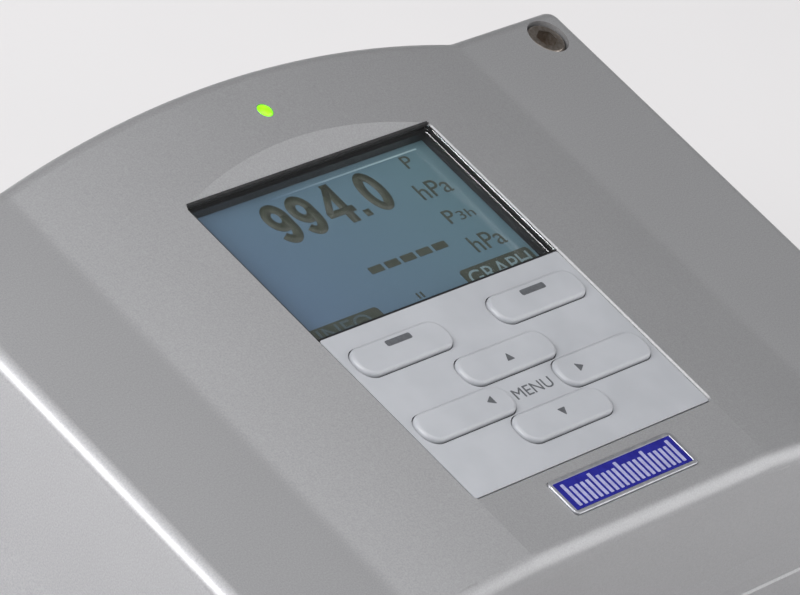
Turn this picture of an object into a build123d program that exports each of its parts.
from build123d import *
import os

# Wall-mounted digital barometer, lying on its flat back.
# Origin: centre of the back face. +Z comes out of the front, +X runs to the
# display's right and +Y to its top. All sizes are in millimetres.

os.makedirs("parts", exist_ok=True)

# Housing
housing_width = 183.0
housing_height = 116.0
housing_depth = 71.0
arch_rise_front = 5.0
arch_rise_top = 4.6
crease_x = 60.4
crease_blend = 14.0
corner_radius = 3.5
front_edge_radius = 3.0
back_edge_radius = 2.0
seam_height = 29.0
seam_gap = 0.8
seam_chamfer = 0.4
cover_wall = 3.4
cover_setback = 0.6
rim_height = 4.0
flare_height = 6.0
base_wall = 5.0
base_floor = 4.0

# Rectangular aperture for the window and the keypad
aperture_width = 65.4
aperture_height = 75.0
aperture_top_y = 34.15
aperture_corner = 1.0
aperture_chamfer = 0.35
window_height = 34.8
crescent_run = 5.4
insert_gap = 0.2

# Window, bezel and display stack
window_thickness = 1.5
window_recess = 0.35
bezel_lip = 2.9
bezel_depth = 2.0
bezel_wall = 0.7
bezel_bar = 1.9
lcd_depth = 4.0
lcd_overlap = 1.3
lcd_thickness = 1.9
backlight_thickness = 3.0
display_board_width = 90.0
display_board_top_y = 50.5
display_board_bottom_y = -48.5
board_thickness = 1.6

# Keypad
panel_recess = 0.3
panel_thickness = 2.0
panel_ledge = 0.9
key_width = 24.0
key_height = 6.8
key_corner = 2.9
key_gap = 0.2
key_web = 0.15
key_rise = 0.85
key_edge = 0.75
key_travel = 0.5
key_skirt = 0.8
key_stem_diameter = 3.0
key_stem_length = 1.25
tab_reach = 0.5
tab_width = 3.0
soft_key_x = 18.5
soft_key_y = -8.15
arrow_centre_y = -24.85
arrow_side_x = 18.9
switch_size = 6.0
switch_body_height = 3.0
switch_button_diameter = 3.2

# Status light and badge
led_y = 47.1
lens_diameter = 3.1
lens_flange_wider = 1.8
lens_flange_height = 1.0
lens_dome = 0.35
led_diameter = 3.0
badge_width = 34.0
badge_height = 8.0
badge_thickness = 0.7
badge_sink = 0.3
badge_y = -47.45

# Cover screws
screw_from_side = 8.9
screw_from_top = 7.2
screw_column_diameter = 12.0
screw_recess_diameter = 8.6
screw_recess_depth = 5.5
screw_diameter = 4.0
screw_head_diameter = 7.0
screw_head_height = 3.2
screw_head_chamfer = 0.4
screw_engagement = 14.0
socket_width = 3.0
socket_depth = 2.0

# Seal between base and cover
groove_inset = 1.4
groove_width = 2.2
groove_depth = 2.0
seal_clearance = 0.05

# Boards and their screws
main_board_width = 150.0
main_board_height = 84.0
main_board_z = 10.0
board_hole_inset = 4.5
board_boss_diameter = 8.0
board_screw_diameter = 3.0
board_screw_head_diameter = 5.6
board_screw_head_height = 2.2
board_screw_depth = 4.0

# Wall fixing holes in the back
wall_hole_spacing_x = 120.0
wall_hole_spacing_y = 70.0
wall_hole_diameter = 6.0
wall_hole_depth = 8.0
wall_boss_diameter = 12.0

# Cable gland, blind plug, pressure port and earth screw on the lower wall
port_z = 15.5
gland_x = -55.0
plug_x = -22.0
port_x = 30.0
earth_x = 62.0
entry_thread_diameter = 16.0
entry_hex_wider = 4.0
entry_hex_height = 5.0
entry_corner_trim = 1.12
entry_gasket_thickness = 1.5
entry_gasket_wider = 3.0
entry_shank_inside = 7.0
locknut_height = 4.0
locknut_floor_gap = 0.5
gland_collar_narrower = 1.0
gland_collar_length = 11.0
gland_bore = 10.5
gland_nut_length = 15.0
cable_bore = 7.0
cable_exit = 9.0
port_thread_diameter = 10.0
port_hex = 14.0
port_seal_diameter = 13.0
stub_diameter = 4.0
stub_length = 14.0
stub_bore = 2.0
inner_stub_length = 6.0
tube_wall = 1.0
earth_screw_diameter = 4.0
earth_head_diameter = 7.5
earth_head_height = 2.8
earth_washer_diameter = 10.0
earth_washer_thickness = 0.8

# Sensor module on the main board
module_width = 56.0
module_length = 48.0
module_height = 16.0
module_wall = 1.5
module_x = 44.0
module_y = 4.0
module_corner = 1.5
sensor_diameter = 19.0
sensor_can_height = 4.8
sensor_neck_diameter = 9.5
sensor_height = 8.0
sensor_board_lift = 2.4
sensor_board_margin_x = 3.0
sensor_board_margin_y = 4.5
sensor_foot_diameter = 2.4
sensor_foot_inset = 2.0

# Parts on the main board: chips as x, y, width, length and height
chips = [
    (-16.0, 8.0, 14.0, 14.0, 1.6),
    (-18.0, -10.0, 10.0, 6.0, 1.8),
    (2.0, 24.0, 8.0, 8.0, 1.4),
]
power_module_width = 32.0
power_module_length = 24.0
power_module_height = 10.0
power_module_x = -52.0
power_module_y = 14.0
service_width = 14.0
service_length = 9.0
service_height = 9.0
service_x = -10.0
service_y = 30.0
moulding_corner = 1.0
terminal_count = 8
terminal_pitch = 5.0
terminal_depth = 10.0
terminal_height = 12.0
terminal_x = -44.0
terminal_y = -35.0
terminal_end_wall = 1.0
terminal_well_diameter = 3.5
terminal_well_depth = 2.0
terminal_mouth_width = 3.0
terminal_mouth_low = 2.0
terminal_mouth_height = 3.0
terminal_screw_diameter = 3.0
terminal_screw_height = 1.2
ribbon_width = 26.0
ribbon_thickness = 0.9
ribbon_y = -37.0
ribbon_swing = 14.0
header_height = 5.5
header_depth = 6.0
header_wider = 4.0

# Clearances
screw_clearance = 0.3
thread_clearance = 0.1
fit_clearance = 0.1
screw_tip_gap = 1.0
post_root = 1.0
overcut = 1.0

# Worked-out levels
wing_z = housing_depth - arch_rise_front
arch_radius = (crease_x**2 + arch_rise_front**2) / (2 * arch_rise_front)
flat_drop = arch_radius - (arch_radius**2 - (aperture_width / 2) ** 2) ** 0.5
front_z = housing_depth - flat_drop
base_top = seam_height - seam_gap / 2
cover_low = seam_height + seam_gap / 2
ledge_low = cover_low + rim_height
ledge_high = ledge_low + flare_height
ceiling_z = front_z - cover_wall
lower_wall_y = -housing_height / 2
entry_hex = entry_thread_diameter + entry_hex_wider
entry_z = base_floor + entry_hex / 2 + locknut_floor_gap
entry_gasket_diameter = entry_thread_diameter + entry_gasket_wider
gland_collar_diameter = entry_thread_diameter - gland_collar_narrower
arrow_step_y = key_height + 2 * key_gap + key_web
wing_top_y = housing_height / 2 - arch_rise_top

aperture_y = aperture_top_y - aperture_height / 2
window_bottom_y = aperture_top_y - window_height
window_y = aperture_top_y - window_height / 2
panel_height = aperture_height - window_height
panel_y = window_bottom_y - panel_height / 2
panel_top_z = front_z - panel_recess
panel_low_z = panel_top_z - panel_thickness
window_top_z = front_z - window_recess
window_low_z = window_top_z - window_thickness
bezel_low_z = ceiling_z - bezel_depth
lcd_top_z = front_z - lcd_depth
lcd_low_z = lcd_top_z - lcd_thickness
display_board_top = lcd_low_z - backlight_thickness
display_board_low = display_board_top - board_thickness
display_board_height = display_board_top_y - display_board_bottom_y
display_board_y = (display_board_top_y + display_board_bottom_y) / 2
main_board_top = main_board_z + board_thickness

window_open_width = aperture_width - 2 * insert_gap - 2 * bezel_wall
window_open_height = window_height - 2 * insert_gap - 2 * bezel_wall
lcd_width = window_open_width + 2 * lcd_overlap
lcd_height = window_open_height + 2 * lcd_overlap

screw_x = housing_width / 2 - screw_from_side
screw_spots = [
    (side * screw_x, y)
    for side in (-1, 1)
    for y in (wing_top_y - screw_from_top, lower_wall_y + screw_from_top)
]
display_screw_spots = [
    (side * (display_board_width / 2 - board_hole_inset), y)
    for side in (-1, 1)
    for y in (
        display_board_top_y - board_hole_inset,
        display_board_bottom_y + board_hole_inset,
    )
]
main_screw_spots = [
    (side * (main_board_width / 2 - board_hole_inset), up * (main_board_height / 2 - board_hole_inset))
    for side in (-1, 1)
    for up in (-1, 1)
]
wall_hole_spots = [
    (side * wall_hole_spacing_x / 2, up * wall_hole_spacing_y / 2)
    for side in (-1, 1)
    for up in (-1, 1)
]
key_spots = {
    "key_soft_left": (-soft_key_x, soft_key_y),
    "key_soft_right": (soft_key_x, soft_key_y),
    "key_up": (0, arrow_centre_y + arrow_step_y),
    "key_down": (0, arrow_centre_y - arrow_step_y),
    "key_left": (-arrow_side_x, arrow_centre_y),
    "key_right": (arrow_side_x, arrow_centre_y),
}


def block(width, height, low, high, x=0.0, y=0.0, radius=0.0):
    """An upright block between two levels, with rounded corners if asked."""
    face = RectangleRounded(width, height, radius) if radius else Rectangle(width, height)
    return Pos(x, y, low) * extrude(face, high - low)


def post(diameter, low, high, x=0.0, y=0.0):
    """An upright round post between two levels."""
    return Pos(x, y, low) * extrude(Circle(diameter / 2), high - low)


def hexagon(across_flats, low, high):
    """A hexagonal prism between two levels."""
    return Pos(0, 0, low) * extrude(RegularPolygon(across_flats / 2, 6, major_radius=False), high - low)


def on_lower_wall(shape, x, z=entry_z):
    """Turns a piece made upright so that it points out of the lower wall."""
    return Pos(x, lower_wall_y, z) * Rot(90, 0, 0) * shape


def outline(inset):
    """The housing seen from the front: straight sides and foot, arched top."""
    side = housing_width / 2 - inset
    foot = lower_wall_y + inset
    wing = wing_top_y - inset
    crown = housing_height / 2 - inset
    face = make_face(
        [
            Line((-side, foot), (side, foot)),
            Line((side, foot), (side, wing)),
            Line((side, wing), (crease_x, wing)),
            ThreePointArc((crease_x, wing), (0, crown), (-crease_x, wing)),
            Line((-crease_x, wing), (-side, wing)),
            Line((-side, wing), (-side, foot)),
        ]
    )
    outer = [v for v in face.vertices() if abs(abs(v.X) - side) < 0.01]
    face = fillet(outer, max(corner_radius - inset, 1.0))
    creases = [v for v in face.vertices() if abs(abs(v.X) - crease_x) < 0.01 and v.Y > 0]
    return fillet(creases, crease_blend)


def arched_prism(drop):
    """Everything under the front surface, lowered by the given amount."""
    wing = wing_z - drop
    reach = housing_width
    face = make_face(
        [
            Line((-reach, 0), (reach, 0)),
            Line((reach, 0), (reach, wing)),
            Line((reach, wing), (crease_x, wing)),
            ThreePointArc((crease_x, wing), (0, wing + arch_rise_front), (-crease_x, wing)),
            Line((-crease_x, wing), (-reach, wing)),
            Line((-reach, wing), (-reach, 0)),
        ]
    )
    creases = [v for v in face.vertices() if abs(abs(v.X) - crease_x) < 0.01]
    return extrude(Plane.XZ * fillet(creases, crease_blend), housing_height, both=True)


def front_flat_cut():
    """The cut for the panel's flat: a crescent above it, the rounded edge below."""
    slope = flat_drop / crescent_run
    reach = 2 * crescent_run
    foot = lower_wall_y + cover_setback
    round_start = foot + front_edge_radius
    round_low = front_z - front_edge_radius
    round_half = front_edge_radius * 0.5**0.5
    above = 2 * housing_depth
    side = make_face(
        [
            Line((aperture_top_y, front_z), (round_start, front_z)),
            ThreePointArc(
                (round_start, front_z),
                (round_start - round_half, round_low + round_half),
                (foot, round_low),
            ),
            Line((foot, round_low), (foot - reach, round_low)),
            Line((foot - reach, round_low), (foot - reach, above)),
            Line((foot - reach, above), (aperture_top_y + reach, above)),
            Line((aperture_top_y + reach, above), (aperture_top_y + reach, front_z + reach * slope)),
            Line((aperture_top_y + reach, front_z + reach * slope), (aperture_top_y, front_z)),
        ]
    )
    return Pos(-aperture_width / 2, 0, 0) * extrude(Plane.YZ * side, aperture_width)


def front_edges(body):
    """The edges where the front surface meets the outer wall."""
    side = housing_width / 2 - cover_setback
    foot = lower_wall_y + cover_setback
    top = wing_top_y - cover_setback
    found = []
    for edge in body.edges():
        start, middle, end = edge @ 0, edge @ 0.5, edge @ 1
        if min(start.Z, middle.Z, end.Z) < wing_z - 0.01:
            continue
        beyond_side = abs(middle.X) > side - corner_radius
        if beyond_side or middle.Y < foot + 0.05 or middle.Y > top - 0.05:
            found.append(edge)
    return found


def cover_body():
    """The cover's outer form, still solid."""
    rim = Pos(0, 0, cover_low) * extrude(outline(0), rim_height)
    flare = loft([Pos(0, 0, ledge_low) * outline(0), Pos(0, 0, ledge_high) * outline(cover_setback)])
    upper = Pos(0, 0, ledge_high) * extrude(outline(cover_setback), housing_depth)
    upper = upper & arched_prism(0)
    upper = fillet(front_edges(upper), front_edge_radius)
    return rim + flare + (upper - front_flat_cut())


def cover_cavity():
    """The room inside the cover, under a flat ceiling with arched sides."""
    lower = Pos(0, 0, 0) * extrude(outline(base_wall), ledge_low)
    upper = extrude(outline(cover_setback + cover_wall), ceiling_z)
    upper = upper - block(2 * housing_width, 2 * housing_height, -overcut, ledge_low)
    return lower + (upper & arched_prism(cover_wall))


def front_cover():
    """The cast cover with its aperture, screw columns and board bosses."""
    cover = cover_body() - cover_cavity()
    for x, y in screw_spots:
        cover += post(screw_column_diameter, cover_low, wing_z - front_edge_radius, x, y)
    for x, y in display_screw_spots:
        boss = post(board_boss_diameter, display_board_top, ceiling_z + fit_clearance, x, y)
        cover += boss & arched_prism(cover_wall / 2)
    for x, y in screw_spots:
        cover -= post(screw_recess_diameter, wing_z - screw_recess_depth, housing_depth, x, y)
        cover -= post(screw_diameter + screw_clearance, 0, wing_z, x, y)
    for x, y in display_screw_spots:
        pilot_top = display_board_top + board_screw_depth
        cover -= post(board_screw_diameter + thread_clearance, 0, pilot_top, x, y)
    cover -= block(
        aperture_width, aperture_height, 0, housing_depth, 0, aperture_y, aperture_corner
    )
    mouth = extrude(
        RectangleRounded(aperture_width, aperture_height, aperture_corner),
        2 * aperture_chamfer,
        taper=-45,
    )
    cover -= Pos(0, aperture_y, front_z - aperture_chamfer) * mouth
    pocket_width = aperture_width + 2 * bezel_lip + insert_gap
    pocket_height = aperture_height + 2 * bezel_lip + insert_gap
    cover -= block(pocket_width, pocket_height, display_board_top, ceiling_z, 0, aperture_y)
    cover -= post(lens_diameter + insert_gap, 0, 2 * housing_depth, 0, led_y)
    cover -= block(
        badge_width + insert_gap,
        badge_height + insert_gap,
        front_z - badge_sink,
        housing_depth,
        0,
        badge_y,
        corner_radius / 4,
    )
    return cover


def seal_groove(clearance):
    """The ring that the seal fills, made smaller all round by a clearance."""
    inner = groove_inset + groove_width - clearance
    low = base_top - groove_depth
    ring = outline(groove_inset + clearance) - outline(inner)
    return Pos(0, 0, low) * extrude(ring, cover_low - low)


def base_housing():
    """The cast base: tray, board bosses, screw columns and entry holes."""
    shell = extrude(outline(0), base_top)
    back = [e for e in shell.edges() if max((e @ 0).Z, (e @ 0.5).Z, (e @ 1).Z) < 0.01]
    shell = fillet(back, back_edge_radius)
    rim = [e for e in shell.edges() if min((e @ 0).Z, (e @ 0.5).Z, (e @ 1).Z) > base_top - 0.01]
    shell = chamfer(rim, seam_chamfer)
    tray = shell - Pos(0, 0, base_floor) * extrude(outline(base_wall), housing_depth)
    for x, y in screw_spots:
        tray += post(screw_column_diameter, base_floor - post_root, base_top, x, y)
    for x, y in main_screw_spots:
        tray += post(board_boss_diameter, base_floor - post_root, main_board_z, x, y)
    for x, y in wall_hole_spots:
        tray += post(wall_boss_diameter, base_floor - post_root, main_board_z - screw_clearance, x, y)
    for x, y in wall_hole_spots:
        tray -= post(wall_hole_diameter, 0, wall_hole_depth, x, y)
    for x, y in screw_spots:
        hole_floor = base_top - screw_engagement - screw_tip_gap
        tray -= post(screw_diameter + thread_clearance, hole_floor, base_top, x, y)
    for x, y in main_screw_spots:
        tray -= post(board_screw_diameter + thread_clearance, base_floor + post_root, main_board_z, x, y)
    tray -= seal_groove(0)
    wall_drill = 2 * base_wall
    for x in (gland_x, plug_x):
        hole = post(entry_thread_diameter + 2 * fit_clearance, -wall_drill, wall_drill)
        tray -= on_lower_wall(hole, x)
    port_hole = post(port_thread_diameter + 2 * fit_clearance, -wall_drill, wall_drill)
    tray -= on_lower_wall(port_hole, port_x, port_z)
    earth_floor = screw_tip_gap - base_wall
    earth_hole = post(earth_screw_diameter + thread_clearance, earth_floor, wall_drill)
    return tray - on_lower_wall(earth_hole, earth_x)


def cover_screws():
    """Four long screws with socket heads, one in each corner."""
    seat = wing_z - screw_recess_depth
    screws = []
    for x, y in screw_spots:
        head = post(screw_head_diameter, seat, seat + screw_head_height)
        rim = [e for e in head.edges() if (e @ 0).Z > seat + screw_head_height / 2]
        head = chamfer(rim, screw_head_chamfer)
        shank = post(screw_diameter, base_top - screw_engagement, seat)
        socket = hexagon(socket_width, seat + screw_head_height - socket_depth, housing_depth)
        screws.append(Pos(x, y, 0) * (head + shank - socket))
    return Compound(children=screws)


def board_screws(spots, seat, points_up):
    """Pan-head screws that hold a board to its bosses."""
    turn = 1 if points_up else -1
    screws = []
    for x, y in spots:
        head = post(board_screw_head_diameter, 0, board_screw_head_height)
        shank = post(board_screw_diameter, -board_thickness - board_screw_depth + screw_tip_gap, 0)
        screw = head + shank
        if turn > 0:
            screw = Rot(180, 0, 0) * screw
        screws.append(Pos(x, y, seat) * screw)
    return Compound(children=screws)


def display_bezel():
    """Black frame behind the aperture: carries window, keypad panel and screen."""
    flange = block(
        aperture_width + 2 * bezel_lip,
        aperture_height + 2 * bezel_lip,
        bezel_low_z,
        ceiling_z,
        0,
        aperture_y,
        corner_radius / 2,
    )
    inner_width = aperture_width - 2 * insert_gap
    inner_height = aperture_height - 2 * insert_gap
    frame = flange + block(
        inner_width, inner_height, ceiling_z, window_low_z, 0, aperture_y, aperture_corner
    )
    frame -= block(
        aperture_width, panel_height + insert_gap, panel_low_z, window_low_z, 0, panel_y - insert_gap / 2
    )
    frame -= block(window_open_width, window_open_height, 0, housing_depth, 0, window_y)
    frame -= block(
        lcd_width + insert_gap, lcd_height + insert_gap, 0, lcd_top_z, 0, window_y
    )
    open_top = window_bottom_y - bezel_bar - insert_gap
    open_low = window_bottom_y - panel_height + insert_gap + panel_ledge
    return frame - block(
        inner_width - 2 * panel_ledge,
        open_top - open_low,
        0,
        housing_depth,
        0,
        (open_top + open_low) / 2,
    )


def display_window():
    """Clear plate over the screen."""
    height = window_height - insert_gap
    return block(
        aperture_width - 2 * insert_gap,
        height - insert_gap,
        window_low_z,
        window_top_z,
        0,
        window_bottom_y + insert_gap / 2 + height / 2,
        aperture_corner / 2,
    )


def screen_plate(low, high):
    """One plate of the screen stack."""
    return block(lcd_width, lcd_height, low, high, 0, window_y)


def display_board():
    """Board behind the cover that carries the screen, the switches and the light."""
    board = block(
        display_board_width,
        display_board_height,
        display_board_low,
        display_board_top,
        0,
        display_board_y,
        corner_radius / 2,
    )
    for x, y in display_screw_spots:
        board -= post(board_screw_diameter + screw_clearance, 0, housing_depth, x, y)
    return board


def key_shape(spread, low, high):
    """The outline of one key, grown all round by a spread."""
    return block(
        key_width + 2 * spread, key_height + 2 * spread, low, high, radius=key_corner + spread
    )


def keypad_panel():
    """Pale panel with one close hole for each key."""
    panel = block(
        aperture_width - 2 * insert_gap,
        panel_height - insert_gap,
        panel_low_z,
        panel_top_z,
        0,
        panel_y + insert_gap / 2,
        aperture_corner / 2,
    )
    for x, y in key_spots.values():
        panel -= Pos(x, y, 0) * key_shape(key_gap, 0, housing_depth)
    return panel


def key(x, y):
    """A pillow-topped key with two end tabs under the panel and a short stem."""
    top = panel_top_z + key_rise
    tab_top = panel_low_z - fit_clearance
    tab_low = tab_top - key_skirt
    cap = key_shape(0, tab_low, top)
    crown = [e for e in cap.edges() if min((e @ 0).Z, (e @ 0.5).Z) > top - 0.01]
    cap = fillet(crown, key_edge)
    tabs = block(key_width + 2 * tab_reach, tab_width, tab_low, tab_top)
    stem = post(key_stem_diameter, tab_low - key_stem_length, tab_low)
    return Pos(x, y, 0) * (cap + tabs + stem)


def key_switches():
    """One small push switch on the board under each key."""
    stem_low = panel_low_z - fit_clearance - key_skirt - key_stem_length
    button_top = stem_low - key_travel - fit_clearance / 2
    switches = []
    for x, y in key_spots.values():
        body_top = display_board_top + switch_body_height
        body = block(switch_size, switch_size, display_board_top, body_top, x, y)
        switches.append(body + post(switch_button_diameter, body_top, button_top, x, y))
    return Compound(children=switches)


def status_lens():
    """Clear light guide that fills the small hole above the window."""
    flange = post(lens_diameter + lens_flange_wider, ceiling_z - lens_flange_height, ceiling_z)
    stem = post(lens_diameter, ceiling_z, housing_depth + lens_dome)
    rim = [e for e in stem.edges() if (e @ 0).Z > housing_depth]
    stem = chamfer(rim, lens_dome)
    return Pos(0, led_y, 0) * (flange + stem)


def status_led():
    """Light on the board under its light guide."""
    top = ceiling_z - lens_flange_height - fit_clearance
    return post(led_diameter, display_board_top, top, 0, led_y)


def badge_plate():
    """Thin plate set into the flat below the keypad."""
    low = front_z - badge_sink
    plate = block(
        badge_width, badge_height, low, low + badge_thickness, 0, badge_y, corner_radius / 4
    )
    rim = [e for e in plate.edges() if min((e @ 0).Z, (e @ 1).Z) > low + badge_thickness - 0.01]
    return chamfer(rim, badge_thickness / 4)


def main_board():
    """Board in the base, screwed to four bosses."""
    board = block(
        main_board_width,
        main_board_height,
        main_board_z,
        main_board_top,
        radius=corner_radius / 2,
    )
    for x, y in main_screw_spots:
        board -= post(board_screw_diameter + screw_clearance, 0, housing_depth, x, y)
    return board


def header(low, high):
    """Socket that takes one end of the flat cable."""
    return block(ribbon_width + header_wider, header_depth, low, high, 0, ribbon_y)


def ribbon_cable():
    """Flat cable that joins the two boards with a slack bend."""
    top = display_board_low - header_height
    foot = main_board_top + header_height
    step = (top - foot) / 4
    path = FilletPolyline(
        (ribbon_y, top),
        (ribbon_y, top - step),
        (ribbon_y + ribbon_swing, (top + foot) / 2),
        (ribbon_y, foot + step),
        (ribbon_y, foot),
        radius=step / 2,
    )
    route = Plane.YZ * path
    start = Plane(origin=route @ 0, x_dir=(1, 0, 0), z_dir=route % 0)
    return sweep(start * Rectangle(ribbon_width, ribbon_thickness), route)


def terminal_block():
    """Row of screw terminals for the field wires."""
    length = terminal_count * terminal_pitch + 2 * terminal_end_wall
    top = main_board_top + terminal_height
    body = block(length, terminal_depth, main_board_top, top, terminal_x, terminal_y)
    for x in terminal_places():
        body -= post(terminal_well_diameter, top - terminal_well_depth, top, x, terminal_y)
        mouth_low = main_board_top + terminal_mouth_low
        body -= block(
            terminal_mouth_width,
            terminal_depth / 2,
            mouth_low,
            mouth_low + terminal_mouth_height,
            x,
            terminal_y - terminal_depth / 2,
        )
    return body


def terminal_places():
    """The x of each terminal in the row."""
    first = terminal_x - (terminal_count - 1) * terminal_pitch / 2
    return [first + i * terminal_pitch for i in range(terminal_count)]


def terminal_screws():
    """Clamping screws of the terminals."""
    low = main_board_top + terminal_height - terminal_well_depth
    top = low + terminal_screw_height
    screws = [post(terminal_screw_diameter, low, top, x, terminal_y) for x in terminal_places()]
    return Compound(children=screws)


def board_chips():
    """The larger chips on the main board."""
    top = main_board_top
    return Compound(
        children=[block(width, length, top, top + height, x, y) for x, y, width, length, height in chips]
    )


def power_module():
    """Moulded power supply beside the terminals."""
    top = main_board_top + power_module_height
    return block(
        power_module_width,
        power_module_length,
        main_board_top,
        top,
        power_module_x,
        power_module_y,
        moulding_corner,
    )


def service_connector():
    """Upright connector for servicing."""
    top = main_board_top + service_height
    return block(
        service_width, service_length, main_board_top, top, service_x, service_y, moulding_corner
    )


def sensor_case():
    """Metal tray of the pressure module with its own tube stub."""
    low = main_board_top
    case = block(module_width, module_length, low, low + module_height, module_x, module_y, module_corner)
    case -= block(
        module_width - 2 * module_wall,
        module_length - 2 * module_wall,
        low + module_wall,
        low + module_height,
        module_x,
        module_y,
    )
    wall_y = module_y - module_length / 2
    stub = extrude(Circle(stub_diameter / 2), inner_stub_length)
    bore = Pos(0, 0, -2 * module_wall) * extrude(Circle(stub_bore / 2), 3 * inner_stub_length)
    place = Pos(port_x, wall_y, port_z) * Rot(90, 0, 0)
    return case + place * stub - place * bore


def sensor_lid():
    """Lid of the pressure module."""
    low = main_board_top + module_height
    return block(
        module_width, module_length, low, low + module_wall, module_x, module_y, module_corner
    )


def sensor_board_level():
    """Upper face of the pressure module's own board."""
    return main_board_top + module_wall + sensor_board_lift


def sensor_board():
    """Small board inside the pressure module, on four short feet."""
    top = sensor_board_level()
    low = top - board_thickness
    width = module_width - 2 * sensor_board_margin_x
    length = module_length - 2 * sensor_board_margin_y
    board = block(width, length, low, top, module_x, module_y)
    for side in (-1, 1):
        for up in (-1, 1):
            x = module_x + side * (width / 2 - sensor_foot_inset)
            y = module_y + up * (length / 2 - sensor_foot_inset)
            board += post(sensor_foot_diameter, main_board_top + module_wall, low, x, y)
    return board


def pressure_sensor():
    """Round pressure cell on the module's board."""
    low = sensor_board_level()
    can = post(sensor_diameter, low, low + sensor_can_height, module_x, module_y)
    neck = post(sensor_neck_diameter, low, low + sensor_height, module_x, module_y)
    return can + neck


def pressure_port():
    """Hose fitting: threaded shank, hexagon and a plain stub on each side."""
    hex_low = entry_gasket_thickness
    hex_high = hex_low + entry_hex_height
    body = hexagon(port_hex, hex_low, hex_high)
    body += post(port_thread_diameter, -base_wall - entry_shank_inside, hex_low)
    outer = post(stub_diameter, hex_high, hex_high + stub_length)
    tip = [e for e in outer.edges() if (e @ 0).Z > hex_high + stub_length - 0.01]
    body += chamfer(tip, stub_diameter / 10)
    inner_end = -base_wall - entry_shank_inside - inner_stub_length
    body += post(stub_diameter, inner_end, 0)
    body -= post(stub_bore, inner_end, hex_high + stub_length)
    return on_lower_wall(body, port_x, port_z)


def ring_on_wall(outer, inner, low, high, x, z=entry_z):
    """A flat ring round an entry's shank."""
    ring = post(outer, low, high) - post(inner, low - overcut, high + overcut)
    return on_lower_wall(ring, x, z)


def locknut(across_flats, bore, x, z=entry_z):
    """Nut on the inside of the lower wall."""
    high = -base_wall
    low = high - locknut_height
    nut = hexagon(across_flats, low, high) - post(bore, low - overcut, high + overcut)
    return on_lower_wall(nut, x, z)


def gland_levels():
    """Levels of the gland outside the wall: hexagon foot and top, collar end."""
    foot = entry_gasket_thickness
    return foot, foot + entry_hex_height, foot + entry_hex_height + gland_collar_length


def gland_body():
    """Gland body: shank through the wall, hexagon and collar for the nut."""
    foot, top, end = gland_levels()
    body = hexagon(entry_hex, foot, top)
    body += post(entry_thread_diameter, -base_wall - entry_shank_inside, foot)
    body += post(gland_collar_diameter, top, end)
    body -= post(gland_bore, -housing_height, end + overcut)
    return on_lower_wall(body, gland_x)


def gland_seal():
    """Rubber sleeve inside the collar that grips the cable."""
    _, top, end = gland_levels()
    sleeve = post(gland_bore - fit_clearance, top, end) - post(cable_bore, 0, end + overcut)
    return on_lower_wall(sleeve, gland_x)


def gland_nut():
    """Nut with a tapered nose over the collar."""
    _, top, end = gland_levels()
    low = top + fit_clearance
    nut = hexagon(entry_hex, low, low + gland_nut_length)
    nose = post(entry_hex * entry_corner_trim, low, low + gland_nut_length)
    crown = [e for e in nose.edges() if (e @ 0).Z > low + gland_nut_length - 0.01]
    nut = nut & chamfer(crown, gland_nut_length / 4)
    nut -= post(gland_collar_diameter + 2 * fit_clearance, low - overcut, end + fit_clearance)
    nut -= post(cable_exit, 0, low + gland_nut_length + overcut)
    return on_lower_wall(nut, gland_x)


def blind_plug():
    """Plug that closes the spare cable entry."""
    foot = entry_gasket_thickness
    head = hexagon(entry_hex, foot, foot + entry_hex_height)
    disc = post(entry_hex * entry_corner_trim, foot, foot + entry_hex_height)
    crown = [e for e in disc.edges() if (e @ 0).Z > foot + entry_hex_height - 0.01]
    head = head & chamfer(crown, entry_hex_height / 4)
    shank = post(entry_thread_diameter, -base_wall - entry_shank_inside, foot)
    return on_lower_wall(head + shank, plug_x)


def earth_screw():
    """Screw for the protective earth wire."""
    low = earth_washer_thickness
    head = post(earth_head_diameter, low, low + earth_head_height)
    rim = [e for e in head.edges() if (e @ 0).Z > low + earth_head_height - 0.01]
    head = chamfer(rim, earth_head_height / 4)
    shank = post(earth_screw_diameter, 2 * screw_tip_gap - base_wall, low)
    return on_lower_wall(head + shank, earth_x)


def pressure_tube():
    """Soft tube from the fitting's inner stub to the pressure module."""
    z = port_z
    start = lower_wall_y + base_wall + entry_shank_inside
    end = module_y - module_length / 2
    tube = Circle(stub_diameter / 2 + fit_clearance / 2 + tube_wall)
    tube -= Circle(stub_diameter / 2 + fit_clearance / 2)
    return Pos(port_x, end, z) * Rot(90, 0, 0) * extrude(tube, end - start)


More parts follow.
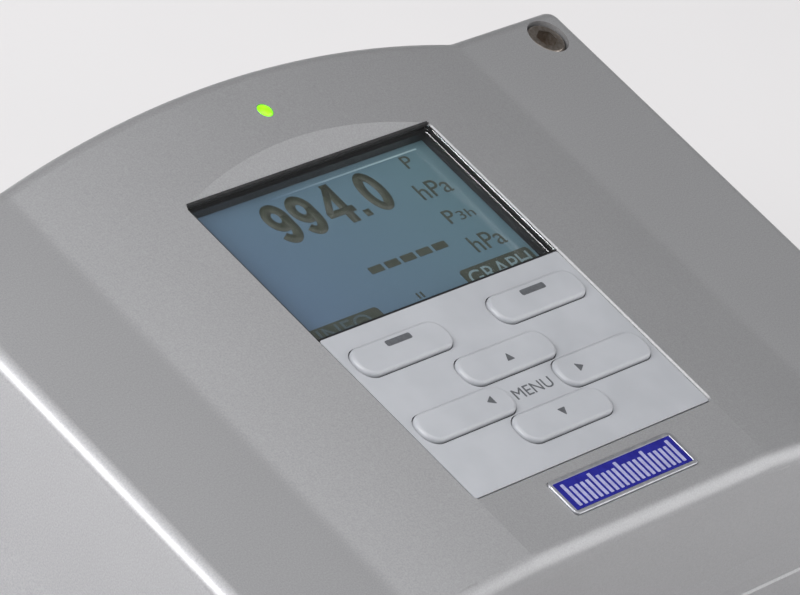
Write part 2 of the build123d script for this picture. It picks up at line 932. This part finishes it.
shank_bore = entry_thread_diameter + 2 * fit_clearance
port_bore = port_thread_diameter + 2 * fit_clearance
nodes = {
    "base_housing": base_housing(),
    "front_cover": front_cover(),
    "cover_gasket": seal_groove(seal_clearance),
    "cover_screws": cover_screws(),
    "display_bezel": display_bezel(),
    "display_window": display_window(),
    "lcd_glass": screen_plate(lcd_low_z, lcd_top_z),
    "backlight_plate": screen_plate(display_board_top, lcd_low_z),
    "display_board": display_board(),
    "display_board_screws": board_screws(display_screw_spots, display_board_low, True),
    "keypad_panel": keypad_panel(),
    "key_switches": key_switches(),
    "status_lens": status_lens(),
    "status_led": status_led(),
    "badge_plate": badge_plate(),
    "ribbon_cable": ribbon_cable(),
    "display_header": header(display_board_low - header_height, display_board_low),
    "main_header": header(main_board_top, main_board_top + header_height),
    "main_board": main_board(),
    "main_board_screws": board_screws(main_screw_spots, main_board_top, False),
    "board_chips": board_chips(),
    "power_module": power_module(),
    "terminal_block": terminal_block(),
    "terminal_screws": terminal_screws(),
    "service_connector": service_connector(),
    "sensor_case": sensor_case(),
    "sensor_lid": sensor_lid(),
    "sensor_board": sensor_board(),
    "pressure_sensor": pressure_sensor(),
    "pressure_tube": pressure_tube(),
    "pressure_port": pressure_port(),
    "pressure_port_seal": ring_on_wall(
        port_seal_diameter, port_bore, 0, entry_gasket_thickness, port_x, port_z
    ),
    "pressure_port_nut": locknut(port_hex, port_bore, port_x, port_z),
    "gland_body": gland_body(),
    "gland_seal": gland_seal(),
    "gland_nut": gland_nut(),
    "gland_gasket": ring_on_wall(entry_gasket_diameter, shank_bore, 0, entry_gasket_thickness, gland_x),
    "gland_locknut": locknut(entry_hex, shank_bore, gland_x),
    "blind_plug": blind_plug(),
    "plug_gasket": ring_on_wall(entry_gasket_diameter, shank_bore, 0, entry_gasket_thickness, plug_x),
    "plug_locknut": locknut(entry_hex, shank_bore, plug_x),
    "earth_screw": earth_screw(),
    "earth_washer": ring_on_wall(
        earth_washer_diameter, earth_screw_diameter + screw_clearance, 0, earth_washer_thickness, earth_x
    ),
}
for name, (x, y) in key_spots.items():
    nodes[name] = key(x, y)

for name, shape in nodes.items():
    export_step(shape, f"parts/{name}.step")
    print(f"{name}: {len(shape.solids())} solid(s), {shape.volume:.1f} mm3")
